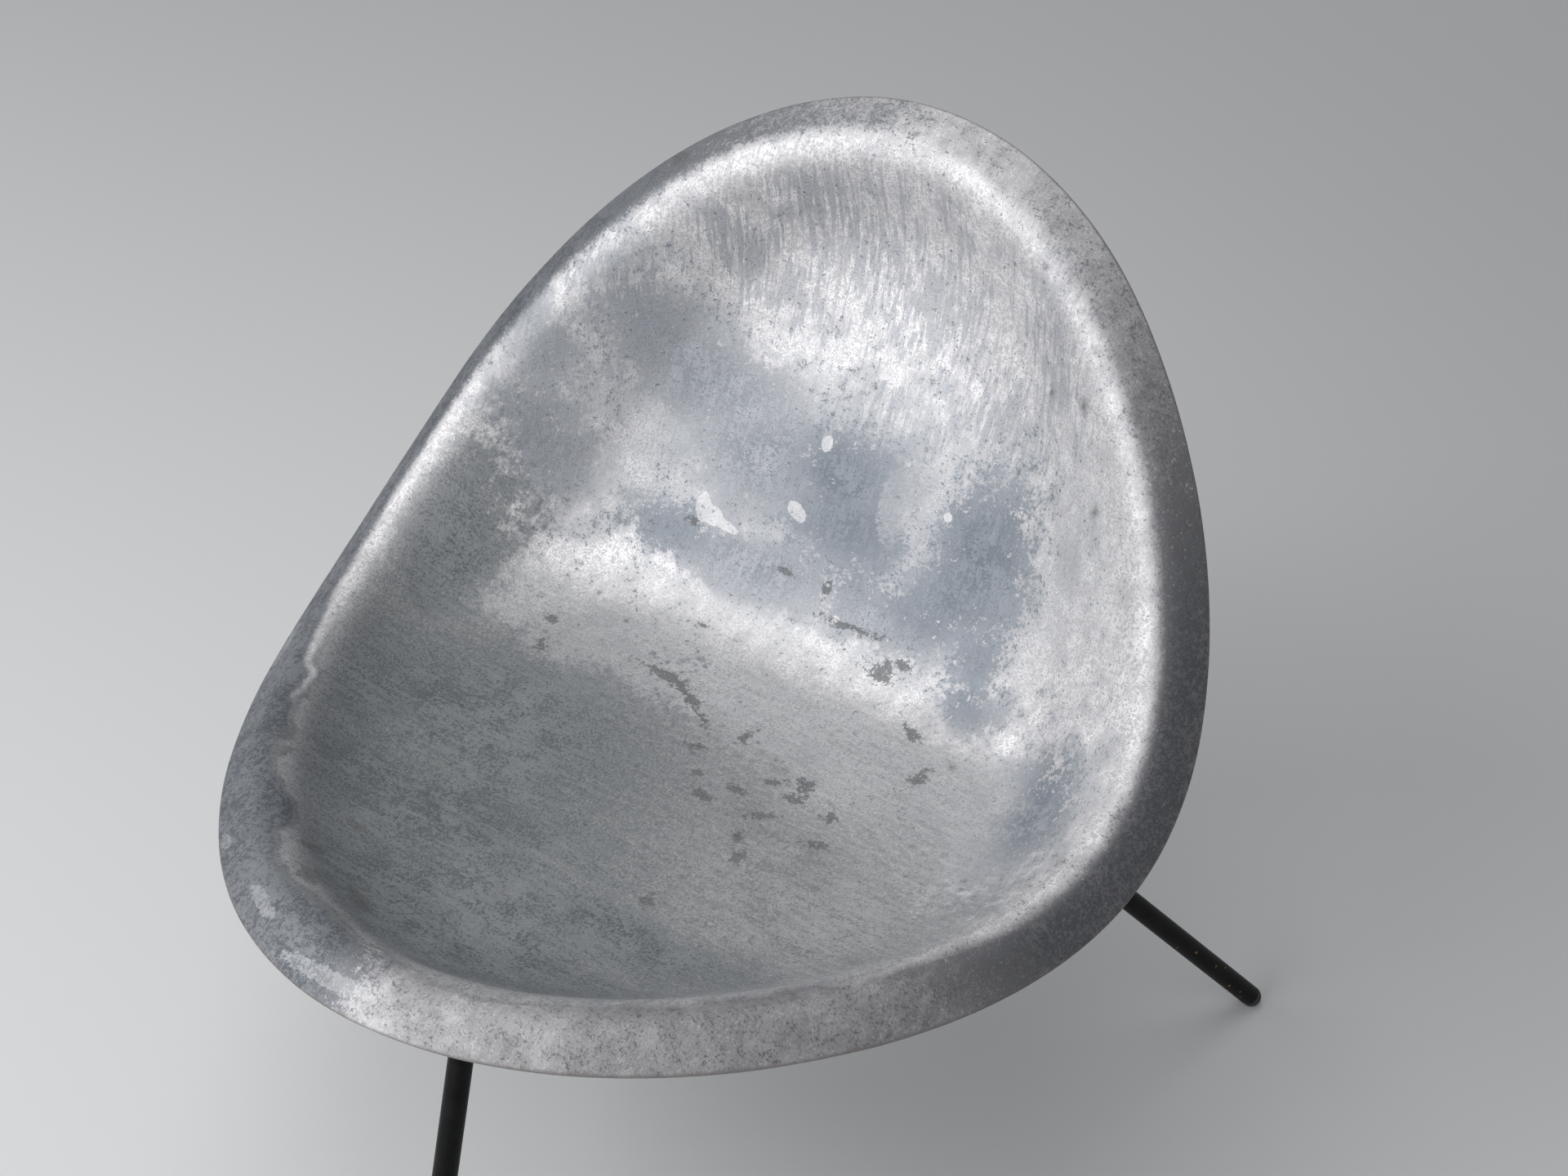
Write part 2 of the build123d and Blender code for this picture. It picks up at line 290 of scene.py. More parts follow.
# %% [markdown]
# ## The shell: a flat map of the surface
# The marks of use on the shell need places. The sheet of seat and back bends only one way, so it can be
# rolled out flat like paper: the first number of a place is the distance sideways from the middle, the
# second is the distance from the bend, forwards negative and up the back positive. Both in millimetres.

# %% Rolled-out map
points = np.empty(len(skin.vertices) * 3)
skin.vertices.foreach_get("co", points)
points = points.reshape(-1, 3) * 1000
valley_steps = np.linspace(-700, 700, 2801)
rises = np.hypot(np.diff(valley_steps), np.diff(valley_height(valley_steps)))
rolled_steps = np.concatenate([[0], np.cumsum(rises)]) - rises.sum() / 2
map_x = points[:, 0]
map_s = np.interp((points - valley_bottom) @ valley_along, valley_steps, rolled_steps)
rolled = skin.attributes.new("rolled_out", "FLOAT_VECTOR", "POINT")
rolled_places = np.stack([map_x, map_s, np.zeros_like(map_x)], 1) / 1000
rolled.data.foreach_set("vector", rolled_places.astype(np.float32).ravel())
print("map from", round(map_s.min()), "to", round(map_s.max()), "mm along the chair")

# %% [markdown]
# ## The shell: an uneven casting
# No casting is perfectly smooth. Broad and small waves of noise lift and sink the skin by about half a
# millimetre at most, which is enough to make reflections wander. The waves are real geometry, so they show
# from every side.

# %% Unevenness
def waves(size, seed):
    """Smooth noise between about -1 and 1 at every point of the skin, with waves of a size in mm."""
    return np.array([noise.noise(Vector(point) / size + Vector((seed, 0, 0))) for point in points])


facing = np.empty(len(points) * 3)
skin.vertex_normals.foreach_get("vector", facing)
facing = facing.reshape(-1, 3)
BROAD_LIFT, SMALL_LIFT = 0.55, 0.12
lift = BROAD_LIFT * waves(85, 3.1) + SMALL_LIFT * waves(26, 7.7)
print("uneven by", round(lift.min(), 2), "to", round(lift.max(), 2), "mm")

# %% [markdown]
# ## The shell: pits
# A few blow holes and knocks are sunk into the skin, each with its place on the map, its radius and its
# depth. Each pit also gets painted shade in its colour, darkest in its middle.

# %% Pits
PITS = [
    (0, 322, 2.2, 0.7), (116, 263, 2.4, 0.4), (166, 221, 2.4, 0.5), (166, 191, 3.2, 0.5),
    (192, 133, 3.0, 0.7), (132, 205, 2.2, 0.3), (-150, -28, 2.0, 0.6), (-118, -40, 2.0, 0.3),
    (-246, -53, 2.2, 0.4), (150, -43, 2.4, 0.3), (-170, 262, 4.0, 0.6), (186, 24, 2.2, 0.3),
]
on_top = np.empty(len(points), dtype=np.float32)
skin.attributes["underside"].data.foreach_get("value", on_top)
on_top = 1 - on_top
# Each pit also records where shade is painted into the colour.
pit_painted_shade = np.zeros(len(points))
for x, s, radius, sink in PITS:
    hollow = np.exp(-((map_x - x) ** 2 + (map_s - s) ** 2) / radius**2) * (on_top > 0.5)
    lift -= sink * hollow
    pit_painted_shade = np.maximum(pit_painted_shade, hollow)
points += facing * lift[:, None]
skin.vertices.foreach_set("co", (points / 1000).ravel())
skin.update()
keep_values(skin, "painted_pit_shade", pit_painted_shade)
print("pits:", len(PITS))

# %% [markdown]
# ## The shell: bosses for the legs
# Under the shell three round bosses carry the legs. They belong to the same casting, so each one flows
# into the underside with a fillet. A ring of rays finds the underside around every boss, and rings of
# points run from the flat face up the drafted wall and out along the fillet.

# %% Bosses
BOSS_RADIUS, BOSS_HEIGHT, BOSS_DRAFT = 33.0, 10.0, math.radians(3.0)
BOSS_EDGE, BOSS_FILLET, BOSS_SINK = 1.2, 7.0, 1.5
BOSS_SIDES = 72
MOUNTS = [(0.0, 300.5), (143.5, 24.4), (-143.5, 24.4)]
underside_tree = BVHTree.FromPolygons([Vector(p) for p in points], [list(f.vertices) for f in skin.polygons])


def boss_rings(x, reach):
    """Rings of points of one boss, from the middle of its face to the end of its fillet."""
    slope = valley_slope * reach / math.hypot(reach, valley_blend)
    normal = Vector(unit(valley_up + valley_along * slope))
    sheet = valley_bottom - valley_along * reach + valley_up * valley_height(reach)
    face = Vector(sheet) + Vector((x, 0, 0)) - normal * (THICKNESS + BOSS_HEIGHT)
    side = Vector((1, 0, 0))
    ahead = normal.cross(side)
    turns = np.linspace(0, 2 * math.pi, BOSS_SIDES, endpoint=False)
    spokes = [side * math.cos(a) + ahead * math.sin(a) for a in turns]

    def under(spoke, radius):
        """Height of the underside above the boss face, on one spoke."""
        hit = underside_tree.ray_cast(face + spoke * radius - normal * 5, normal)
        return hit[3] - 5

    wall_top = BOSS_RADIUS + BOSS_HEIGHT * math.tan(BOSS_DRAFT)
    outer = wall_top + BOSS_FILLET
    edge_turns = (0, 0.5, 1.05, math.pi / 2)
    edge_arc = [(BOSS_RADIUS - BOSS_EDGE * (1 - math.sin(a)), BOSS_EDGE * (1 - math.cos(a)))
                for a in edge_turns]
    profiles = []
    for spoke in spokes:
        root, rim = under(spoke, wall_top), under(spoke, outer)
        profile = [(0.1, 0), (BOSS_RADIUS - 4, 0)] + edge_arc
        for a in np.linspace(0, math.pi / 2, 7):
            out = BOSS_FILLET * (1 - math.cos(a))
            rise = root - BOSS_FILLET * (1 - math.sin(a)) + (rim - root) * out / BOSS_FILLET
            profile.append((wall_top + out, rise))
        closing = (outer + 1, 0.75 * wall_top, 0.4 * wall_top, 0.1)
        profile += [(radius, under(spoke, radius) + BOSS_SINK) for radius in closing]
        profiles.append([face + spoke * radius + normal * height for radius, height in profile])
    return [list(ring) for ring in zip(*profiles)]


boss_points, boss_faces = [], []
for x, reach in MOUNTS:
    for ring_number, ring in enumerate(boss_rings(x, reach)):
        first = len(boss_points)
        boss_points += [point / 1000 for point in ring]
        for number in range(BOSS_SIDES if ring_number else 0):
            after = (number + 1) % BOSS_SIDES
            before = first - BOSS_SIDES
            boss_faces.append((before + number, first + number, first + after, before + after))
bosses_mesh = bpy.data.meshes.new("seat_shell_bosses")
bosses_mesh.from_pydata(boss_points, [], boss_faces)
bosses_mesh.polygons.foreach_set("use_smooth", [True] * len(boss_faces))
bosses = bpy.data.objects.new("seat_shell_bosses", bosses_mesh)
scene.collection.objects.link(bosses)
keep_values(bosses_mesh, "underside", np.ones(len(boss_points)))
keep_values(bosses_mesh, "edge_distance", np.full(len(boss_points), 150.0))
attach(bosses, "root")
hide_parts("seat_shell")
print("boss points:", len(boss_points))

# %% [markdown]
# ## The patina: where the marks lie
# Years of use have left clouds of oxide, streaks, a thin veil and a polished bend. Each of them is a list
# of spots: a place on the map, a reach sideways, a reach along the chair and a turn in degrees. A spot's
# field is 1 in its middle, 0 on its outline and negative outside. The map is bent by noise first, so that
# no outline stays an ellipse. The finish later cuts each field with finer noise.

# %% Spots on the map
drift_x = 9 * waves(48, 11.3) + 3.5 * waves(15, 21.9)
drift_s = 9 * waves(48, 31.7) + 3.5 * waves(15, 41.2)


def spots(marks, bent=1.0):
    """The field of the nearest spot on the upper side of the skin, on a map that is bent more or less."""
    field = np.full(len(points), -1.0)
    for x, s, reach_x, reach_s, degrees in marks:
        c, w = math.cos(math.radians(degrees)), math.sin(math.radians(degrees))
        right, ahead = map_x + bent * drift_x - x, map_s + bent * drift_s - s
        radius = np.hypot((right * c + ahead * w) / reach_x, (ahead * c - right * w) / reach_s)
        field = np.maximum(field, 1 - radius)
    return np.where(on_top > 0.5, field, -1.0)


FILM = [
    (-130, 146, 92, 44, -5), (0, 112, 66, 52, 0), (-75, 110, 66, 56, 0), (108, 96, 44, 74, 0),
    (-60, 35, 104, 27, 0), (62, 38, 84, 28, 0), (-218, 45, 46, 54, 0), (-236, 105, 30, 44, 20),
    (214, -70, 54, 90, 0), (142, -4, 36, 28, 0),
]
STREAKED = [
    (-30, 262, 95, 36, -5), (-95, 225, 75, 28, 0), (25, 242, 60, 50, 0), (95, 190, 80, 34, 0),
    (-190, 165, 40, 70, 25), (135, 240, 30, 60, 30), (30, 172, 60, 24, 0),
]
VEIL = [(-10, 95, 210, 100, 0)]
POLISHED = [(-45, -7, 125, 19, 0), (45, -12, 72, 14, 0)]
keep_values(skin, "film", spots(FILM))
keep_values(skin, "streaked", spots(STREAKED))
keep_values(skin, "veil", spots(VEIL))
keep_values(skin, "polished", spots(POLISHED, bent=0.4))
print("film spots:", len(FILM), "streaked places:", len(STREAKED))

# %% [markdown]
# ## The patina: crisp marks
# Some films dried with a harder outline. They are bluer and darker than the rest. Where something wiped the
# metal or a drop fell, a small pale spot stayed, and where water dried, a fainter patch.

# %% Dark films and pale patches
DARK_FILM = [
    (4, 78, 54, 34, 0), (-12, 120, 44, 34, 0), (112, 98, 42, 60, 0), (128, 30, 20, 38, 8),
    (90, 66, 46, 34, 0), (-130, 40, 32, 24, 0), (170, -62, 10, 16, 0), (160, -90, 14, 8, 0),
    (226, -62, 26, 48, 0),
]
PALE = [
    (-107, 61, 6, 11, 15), (-98, 58, 9, 7, 0), (-86, 55, 13, 3.5, -8), (-35, 83, 9.5, 5.5, -25),
    (-28, 135, 4.5, 6.5, 0), (75, 117, 3.5, 3.5, 0), (0, 192, 5, 2.5, 10), (20, 24, 3, 3, 0),
]
DRIED = [
    (-152, 102, 24, 11, 0), (-168, 54, 24, 20, 30), (34, 112, 12, 26, 5), (28, 176, 16, 18, -20),
    (-280, -205, 5, 26, 15), (-158, -369, 11, 5, -30), (-90, -399, 16, 5, -20), (-20, -418, 40, 6, 0),
]
keep_values(skin, "dark_film", spots(DARK_FILM))
keep_values(skin, "pale", spots(PALE, bent=0.1))
keep_values(skin, "dried", spots(DRIED, bent=0.5))
print("dark films:", len(DARK_FILM), "pale spots:", len(PALE), "dried patches:", len(DRIED))

# %% [markdown]
# ## The patina: the seat
# The seat has been sat on, rained on and wiped. Its grey deepens in three steps: a haze that starts just in
# front of the bend, a greyer film whose wavy shore fades out to the right, and the darkest clouds on the
# left and at the front, thinner where they were rubbed. Small dark smudges lie where something stuck.

# %% Seat and smudges
haze_field = np.clip((-20 - map_s + 0.5 * drift_s) / 30, -1, 1) - 1.2 * np.clip((map_x - 165) / 60, 0, 1)
to_right = np.clip(map_x + 40, 0, 300)
shore_line = -94 + 1.5 * drift_s + 1.2 * drift_x - 0.12 * to_right
shore_field = np.clip((shore_line - map_s) / (40 + 0.8 * to_right), -1, 1)
DEEP = [(-140, -190, 160, 105, 0), (-110, -262, 170, 80, 0), (-20, -340, 190, 80, 0), (50, -288, 120, 26, 3),
        (-244, -40, 40, 95, 8)]
RUBBED = [(-128, -238, 44, 13, 0), (-170, -214, 24, 15, 0), (-30, -262, 60, 8, 4), (60, -318, 60, 9, 0)]
keep_values(skin, "haze", haze_field)
keep_values(skin, "shore", shore_field)
keep_values(skin, "deep", spots(DEEP) - 0.45 * np.clip(2 * spots(RUBBED), 0, 0.6))
SMUDGES = [
    (-55, -72, 22, 6, -8), (-32, -82, 18, 4.5, -32), (-12, -93, 9, 3.5, -35), (-165, -65, 6, 5, 0),
    (-152, -91, 4, 7, 20), (80, -110, 9, 6, 25), (82, -125, 8, 5, 0), (62, -118, 10, 3.5, 30),
    (110, -127, 8, 4, 0), (72, -150, 11, 4, 30), (30, -155, 10, 5, 0), (15, -140, 6, 4, 0),
    (45, -138, 8, 4, 0), (115, -152, 10, 4, 20), (0, -118, 9, 5, 0), (20, -90, 4, 9, 0),
    (82, -190, 6, 7, 0), (72, -174, 5, 5, 0),
    (136, -62, 5, 12, -10), (110, -30, 9, 5, -30), (-68, -17, 10, 2.6, 3), (34, 23, 28, 3, 4),
    (67, 3, 9, 8, 0), (78, 13, 6, 4, 0), (-30, 40, 6, 3, 0), (5, 40, 3, 7, 0), (-111, 49, 7, 3, -30),
    (-195, -275, 6, 6, 0), (-183, -288, 6, 8, 30), (-86, -365, 10, 5, -30), (-62, -361, 13, 4, -30),
    (-108, -344, 5, 4, 0), (60, -255, 5, 7, 0), (-118, -310, 7, 4, 0), (-170, 262, 9, 7, 0),
]
keep_values(skin, "smudge", spots(SMUDGES, bent=0.2))
print("smudges:", len(SMUDGES))

# %% [markdown]
# ## The patina and painted shade: the lip
# The outside of the rolled lip is painted darker. On the right, which faces away from the lamps, the
# darkening is painted shade, less at the front and the top. On the left the lip carries a bluish film, made
# darker with painted shade. The crest of the rim is made greyer in places. At the front the stain of the seat
# laps over the crest and ends in a wavy tide line, a thin dark line of stain and painted shade. The helper
# fields run from 0 to 1, and distances from the lip's edge are in millimetres.

# %% Lip: film, tide line and painted shade
CREST_MM, CREST_SPREAD, TIDE_WIDTH = 46, 13, 2.2
edge_mm = np.empty(len(points), dtype=np.float32)
skin.attributes["edge_distance"].data.foreach_get("value", edge_mm)
sideways = np.clip(np.abs(map_x) / 290, 0, 1) ** 2
on_right = np.clip(map_x / 60 + 0.5, 0, 1)
at_ends = np.where(map_s > 0, 0.36, 0.8)
at_front = np.clip((-150 - map_s) / 100, 0, 1)
tide_line = CREST_MM + (1.3 * (drift_s + drift_x) - 3) * at_front
lip_reach = (38 + 5 * on_right) * (1 - at_front) + (tide_line + 2) * at_front
on_lip = np.clip((lip_reach - edge_mm) / (14 - 10 * at_front), 0, 1)
# Painted shade on the right of the lip, which faces away from the lamps, less at the front and the top.
lip_painted_shade_field = on_lip * on_right * (sideways + (1 - sideways) * at_ends) * (1 - 0.36 * at_front)
keep_values(skin, "lip_painted_shade", lip_painted_shade_field)
# The bluish film of the left lip, which also carries painted shade.
keep_values(skin, "lip_film_and_shade", on_lip * (1 - on_right) * (at_ends + (1 - at_ends) * sideways))
on_crest = np.exp(-((edge_mm - CREST_MM) / CREST_SPREAD) ** 2)
lower_part = np.clip((150 - map_s) / 120, 0, 1)
# The crest is made greyer, most on the right and high on the back, less on the lower left.
crest_grey_right = (0.78 + 0.22 * lower_part) * on_right
crest_grey_left = np.maximum(0.78 * (map_s > 200), 0.25 + 0.35 * lower_part)
keep_values(skin, "crest", on_crest * np.maximum(crest_grey_right, crest_grey_left))
# A thin dark line of stain and painted shade where the stain at the front ends.
tide_stain_and_shade = np.exp(-((edge_mm - tide_line - 2) / TIDE_WIDTH) ** 2) * at_front * (1 - 0.6 * on_right)
keep_values(skin, "tide_stain_and_shade", tide_stain_and_shade)
keep_values(skin, "inside", (edge_mm - tide_line) / (7 - 4 * at_front))
print("lip marked on", int((edge_mm < CREST_MM).sum()), "points")

# %% [markdown]
# ## Building a finish from nodes
# Finishes are made of nodes that feed each other. Small helpers keep the cells short: one lays a node and
# fills its inputs, one adds up several patterns with weights, one turns a sum into a soft or hard edge, one
# lays a colour over another, one makes cloudy noise and one starts a new finish.

# %% Helpers for finishes
def lay(finish, kind, inputs, **settings):
    """Lay a node in a finish. Inputs take plain values or the outputs of other nodes."""
    made = finish.node_tree.nodes.new("ShaderNode" + kind)
    for name, value in settings.items():
        setattr(made, name, value)
    for name, value in inputs.items():
        if isinstance(value, bpy.types.NodeSocket):
            finish.node_tree.links.new(value, made.inputs[name])
        else:
            made.inputs[name].default_value = value
    return made


def add_up(finish, patterns, base):
    """A base value plus several patterns, each with its weight."""
    total = base
    for pattern, weight in patterns:
        total = lay(finish, "Math", {0: pattern, 1: weight, 2: total}, operation="MULTIPLY_ADD").outputs[0]
    return total


def edge(finish, value, low, high):
    """Nothing below the low value, all above the high one, and a smooth step between."""
    inputs = {"Value": value, "From Min": low, "From Max": high}
    return lay(finish, "MapRange", inputs, interpolation_type="SMOOTHSTEP").outputs["Result"]


def tint(finish, amount, under, over):
    """One colour laid over another."""
    mixed = lay(finish, "Mix", {0: amount, 6: under, 7: over}, data_type="RGBA")
    return mixed.outputs[2]


def speckle(finish, place, scale, detail=4.0, roughness=0.6):
    """A cloudy pattern between about -1 and 1, with a number of clouds to the metre."""
    inputs = {"Vector": place, "Scale": scale, "Detail": detail, "Roughness": roughness}
    cloudy = lay(finish, "TexNoise", inputs).outputs["Fac"]
    return lay(finish, "MapRange", {"Value": cloudy, "From Min": 0.28, "From Max": 0.72, "To Min": -1.0},
               clamp=False).outputs["Result"]


def new_finish(name):
    """An empty finish with its shader and the places of the surface, in metres."""
    finish = bpy.data.materials.new(name)
    finish.use_nodes = True
    place = lay(finish, "TexCoord", {}).outputs["Object"]
    return finish, finish.node_tree.nodes["Principled BSDF"], place


print("helpers ready")

# %% [markdown]
# ## The aluminium: patterns
# Bare cast aluminium sparkles with grain of a millimetre or so. Films cover the grain like breath on glass,
# most of all in clouds a hand wide. On the back, rain has drawn streaks downwards, and on the seat wiping
# has drawn them sideways, so two patterns are stretched on the map.

# %% Patterns of the aluminium
aluminium, metal, place = new_finish("worn_aluminium")


def mark(name):
    """A field of marks that the skin carries."""
    return lay(aluminium, "Attribute", {}, attribute_name=name).outputs["Fac"]


flat_place = lay(aluminium, "Attribute", {}, attribute_name="rolled_out").outputs["Vector"]
lengthwise = lay(aluminium, "Mapping", {"Vector": flat_place, "Scale": (230, 42, 1)}).outputs["Vector"]
crosswise = lay(aluminium, "Mapping", {"Vector": flat_place, "Scale": (42, 240, 1)}).outputs["Vector"]
streaks = speckle(aluminium, lengthwise, 1.0, 6.0, 0.75)
wipes = speckle(aluminium, crosswise, 1.0, 5.0, 0.7)
clouds = speckle(aluminium, place, 12, 4.0, 0.6)
blotches = speckle(aluminium, place, 48, 6.0, 0.65)
crumbs = speckle(aluminium, place, 170, 4.0, 0.7)
specks = speckle(aluminium, place, 330, 3.0, 0.75)
grain = speckle(aluminium, place, 620, 2.0, 0.8)
below = mark("underside")
print("patterns:", len(aluminium.node_tree.nodes), "nodes")

# %% [markdown]
# ## The aluminium: covers of the back
# Each kind of mark becomes a cover between 0 and 1. All of them take in some noise. The films and streaks
# take in most of it, so their outlines dissolve into specks. The pale spots take in least and stay crisp.

# %% Covers of the back
def cover(patterns, base, low, high):
    """How much of one kind of mark lies at a place, between 0 and 1."""
    return edge(aluminium, add_up(aluminium, patterns, base), low, high)


def layered(patterns):
    """A cover that is half a hard outline and half a soft thickening towards its middle."""
    hard, soft = cover(patterns, 0.0, -0.05, 0.15), cover(patterns, 0.0, -0.2, 0.8)
    return add_up(aluminium, [(hard, 0.55), (soft, 0.45)], 0.0)


film_parts = [(mark("film"), 1.0), (clouds, 0.2), (blotches, 0.35), (streaks, 0.3), (crumbs, 0.35)]
film_parts += [(specks, 0.5), (grain, 0.4), (below, 1.2)]
film = layered(film_parts)
streaked_parts = [(mark("streaked"), 0.58), (streaks, 1.2), (blotches, 0.35), (crumbs, 0.2), (specks, 0.3)]
streaked = cover(streaked_parts + [(grain, 0.3)], -0.2, 0.0, 0.2)
veil_parts = [(mark("veil"), 1.0), (blotches, 0.3), (streaks, 0.3), (crumbs, 0.3), (specks, 0.4)]
veil = cover(veil_parts, 0.1, -0.2, 0.5)
dark_parts = [(mark("dark_film"), 1.0), (blotches, 0.35), (streaks, 0.25), (crumbs, 0.4), (specks, 0.5)]
dark = layered(dark_parts + [(grain, 0.4)])
polished = cover([(mark("polished"), 1.0), (crumbs, 0.15), (specks, 0.15), (streaks, 0.1)], 0.0, -0.1, 0.5)
pale = cover([(mark("pale"), 1.0), (crumbs, 0.15), (specks, 0.1)], 0.05, 0.0, 0.15)
dried = cover([(mark("dried"), 1.0), (blotches, 0.2), (crumbs, 0.25), (specks, 0.2)], 0.0, 0.0, 0.15)
print("covers of the back:", len(aluminium.node_tree.nodes), "nodes")

# %% [markdown]
# ## The aluminium: covers of the seat and the lip
# The covers of the seat end at the crest of the rim. The lip has its own painted shade and film, and a thin
# dull line runs along its very edge.

# %% Covers of the seat and the lip
inside_rim = cover([(mark("inside"), 1.0), (blotches, 0.4), (crumbs, 0.4), (specks, 0.4)], 0.0, -1.0, 1.0)


def seat_cover(parts, base, low, high):
    """A cover that ends at the crest of the rim."""
    inputs = {0: cover(parts, base, low, high), 1: inside_rim}
    return lay(aluminium, "Math", inputs, operation="MULTIPLY").outputs[0]


haze = seat_cover([(mark("haze"), 1.0), (blotches, 0.25), (crumbs, 0.25), (specks, 0.3)], 0.0, -0.5, 0.7)
shore_parts = [(mark("shore"), 1.0), (blotches, 0.2), (crumbs, 0.2), (specks, 0.2)]
shore = seat_cover(shore_parts, 0.0, -0.15, 0.25)
deep_parts = [(mark("deep"), 1.0), (clouds, 0.25), (wipes, 0.2), (blotches, 0.3), (crumbs, 0.4)]
deep = seat_cover(deep_parts + [(specks, 0.4)], 0.1, -0.3, 0.6)
smudge = cover([(mark("smudge"), 1.0), (crumbs, 0.85), (specks, 0.75), (wipes, 0.5)], -0.06, 0.0, 0.2)
flecks = cover([(crumbs, 0.8), (specks, 0.5), (blotches, 0.3), (wipes, 0.2), (shore, 0.2)], -0.72, 0.0, 0.3)
lip_grain = [(blotches, 0.13), (crumbs, 0.18), (specks, 0.24), (grain, 0.26)]
# Painted shade on the right lip, and the bluish film with painted shade on the left lip.
lip_painted_shade = cover([(mark("lip_painted_shade"), 1.0)] + lip_grain, 0.0, -0.1, 1.0)
lip_film_and_shade = cover([(mark("lip_film_and_shade"), 1.0)] + lip_grain, -0.1, -0.1, 0.5)
dull_edge = cover([(mark("edge_distance"), -1.0), (crumbs, 0.6)], 2.0, -0.5, 1.0)
print("covers:", len(aluminium.node_tree.nodes), "nodes")

# %% [markdown]
# ## The aluminium: colour
# Two greys make the bare metal. Over it lie the covers, each with its strength, its pattern and two colours:
# first the films of the back, then the polished bend, the seat, the pale spots, the greyer crest and the lip
# with its film and painted shade, and last dried patches, flecks, smudges, painted shade in the pits and the
# edge.

# %% Colour of the aluminium
fine = cover([(grain, 0.6), (specks, 0.7), (crumbs, 0.4), (streaks, 0.3)], 0.0, -0.4, 0.4)
mottle = cover([(blotches, 0.3), (crumbs, 0.4), (specks, 0.5), (grain, 0.5)], 0.0, -0.55, 0.55)
scuff_parts = [(wipes, 0.3), (clouds, 0.2), (blotches, 0.3), (crumbs, 0.25), (specks, 0.45), (grain, 0.6)]
scuffs = cover(scuff_parts, 0.0, -0.55, 0.55)
drift_parts = [(streaks, 0.3), (clouds, 0.25), (blotches, 0.35), (crumbs, 0.35), (specks, 0.45), (grain, 0.4)]
drift = cover(drift_parts, 0.0, -0.45, 0.45)
colour = tint(aluminium, fine, (0.53, 0.52, 0.535, 1), (0.97, 0.96, 0.975, 1))
LAYERS = [
    (veil, 0.65, drift, (0.31, 0.325, 0.35), (0.54, 0.555, 0.58)),
    (streaked, 0.75, drift, (0.26, 0.275, 0.31), (0.46, 0.475, 0.51)),
    (film, 0.9, drift, (0.185, 0.207, 0.24), (0.45, 0.47, 0.505)),
    (dark, 0.8, drift, (0.13, 0.158, 0.195), (0.30, 0.335, 0.375)),
    (polished, 0.5, fine, (0.62, 0.615, 0.625), (0.82, 0.815, 0.825)),
    (haze, 0.9, scuffs, (0.33, 0.335, 0.345), (0.60, 0.60, 0.61)),
    (shore, 0.85, scuffs, (0.20, 0.21, 0.215), (0.46, 0.465, 0.47)),
    (deep, 0.85, scuffs, (0.09, 0.105, 0.11), (0.28, 0.295, 0.305)),
    (pale, 0.75, fine, (0.62, 0.615, 0.63), (0.82, 0.815, 0.83)),
    (mark("crest"), 0.7, fine, (0.35, 0.345, 0.36), (0.64, 0.63, 0.645)),
    # The bluish film of the left lip, with painted shade.
    (lip_film_and_shade, 0.92, drift, (0.055, 0.066, 0.081), (0.165, 0.18, 0.20)),
    # Painted shade on the right side of the lip.
    (lip_painted_shade, 0.97, mottle, (0.03, 0.034, 0.042), (0.13, 0.13, 0.14)),
    # The tide line at the front: stain and painted shade.
    (mark("tide_stain_and_shade"), 0.85, mottle, (0.10, 0.107, 0.115), (0.20, 0.205, 0.21)),
    (dried, 0.22, fine, (0.50, 0.505, 0.52), (0.74, 0.745, 0.76)),
    (flecks, 0.5, mottle, (0.13, 0.135, 0.14), (0.22, 0.225, 0.23)),
    (smudge, 0.8, mottle, (0.07, 0.075, 0.08), (0.16, 0.165, 0.17)),
    # Painted shade in the pits.
    (mark("painted_pit_shade"), 0.8, mottle, (0.09, 0.09, 0.09), (0.15, 0.15, 0.15)),
    (dull_edge, 0.5, mottle, (0.16, 0.145, 0.14), (0.26, 0.235, 0.22)),
]
for amount, strength, pattern, low, high in LAYERS:
    shade = tint(aluminium, pattern, (*low, 1), (*high, 1))
    amount = lay(aluminium, "Math", {0: amount, 1: strength}, operation="MULTIPLY").outputs[0]
    colour = tint(aluminium, amount, colour, shade)
print("colours laid over each other:", len(LAYERS))

# %% [markdown]
# ## The aluminium: sheen and relief
# Films are less metallic and scatter more than bare metal. A fine bump lets the grain catch the light.

# %% Sheen and relief of the aluminium
BARE_METALLIC, BARE_ROUGHNESS = 0.58, 0.58
links = aluminium.node_tree.links
links.new(colour, metal.inputs["Base Color"])
metal_parts = [(film, -0.12), (dark, -0.08), (haze, -0.06), (smudge, -0.2)]
links.new(add_up(aluminium, metal_parts, BARE_METALLIC), metal.inputs["Metallic"])
rough_parts = [(film, 0.06), (dark, 0.03), (haze, 0.06), (specks, -0.05), (clouds, 0.03)]
links.new(add_up(aluminium, rough_parts, BARE_ROUGHNESS), metal.inputs["Roughness"])
heights = add_up(aluminium, [(grain, 0.3), (specks, 0.4), (crumbs, 0.4), (film, 0.15)], 0.0)
relief = lay(aluminium, "Bump", {"Strength": 0.3, "Distance": 0.0005, "Height": heights})
links.new(relief.outputs["Normal"], metal.inputs["Normal"])
for piece in (shell, bosses):
    piece.data.materials.clear()
    piece.data.materials.append(aluminium)
print("worn aluminium:", len(aluminium.node_tree.nodes), "nodes")

# %% [markdown]
# ## The legs: black paint
# The three rods and their flanges are painted satin black. Paint on round bar shows a faint orange peel, and
# it wears through first near the floor, where a few specks of primer show.

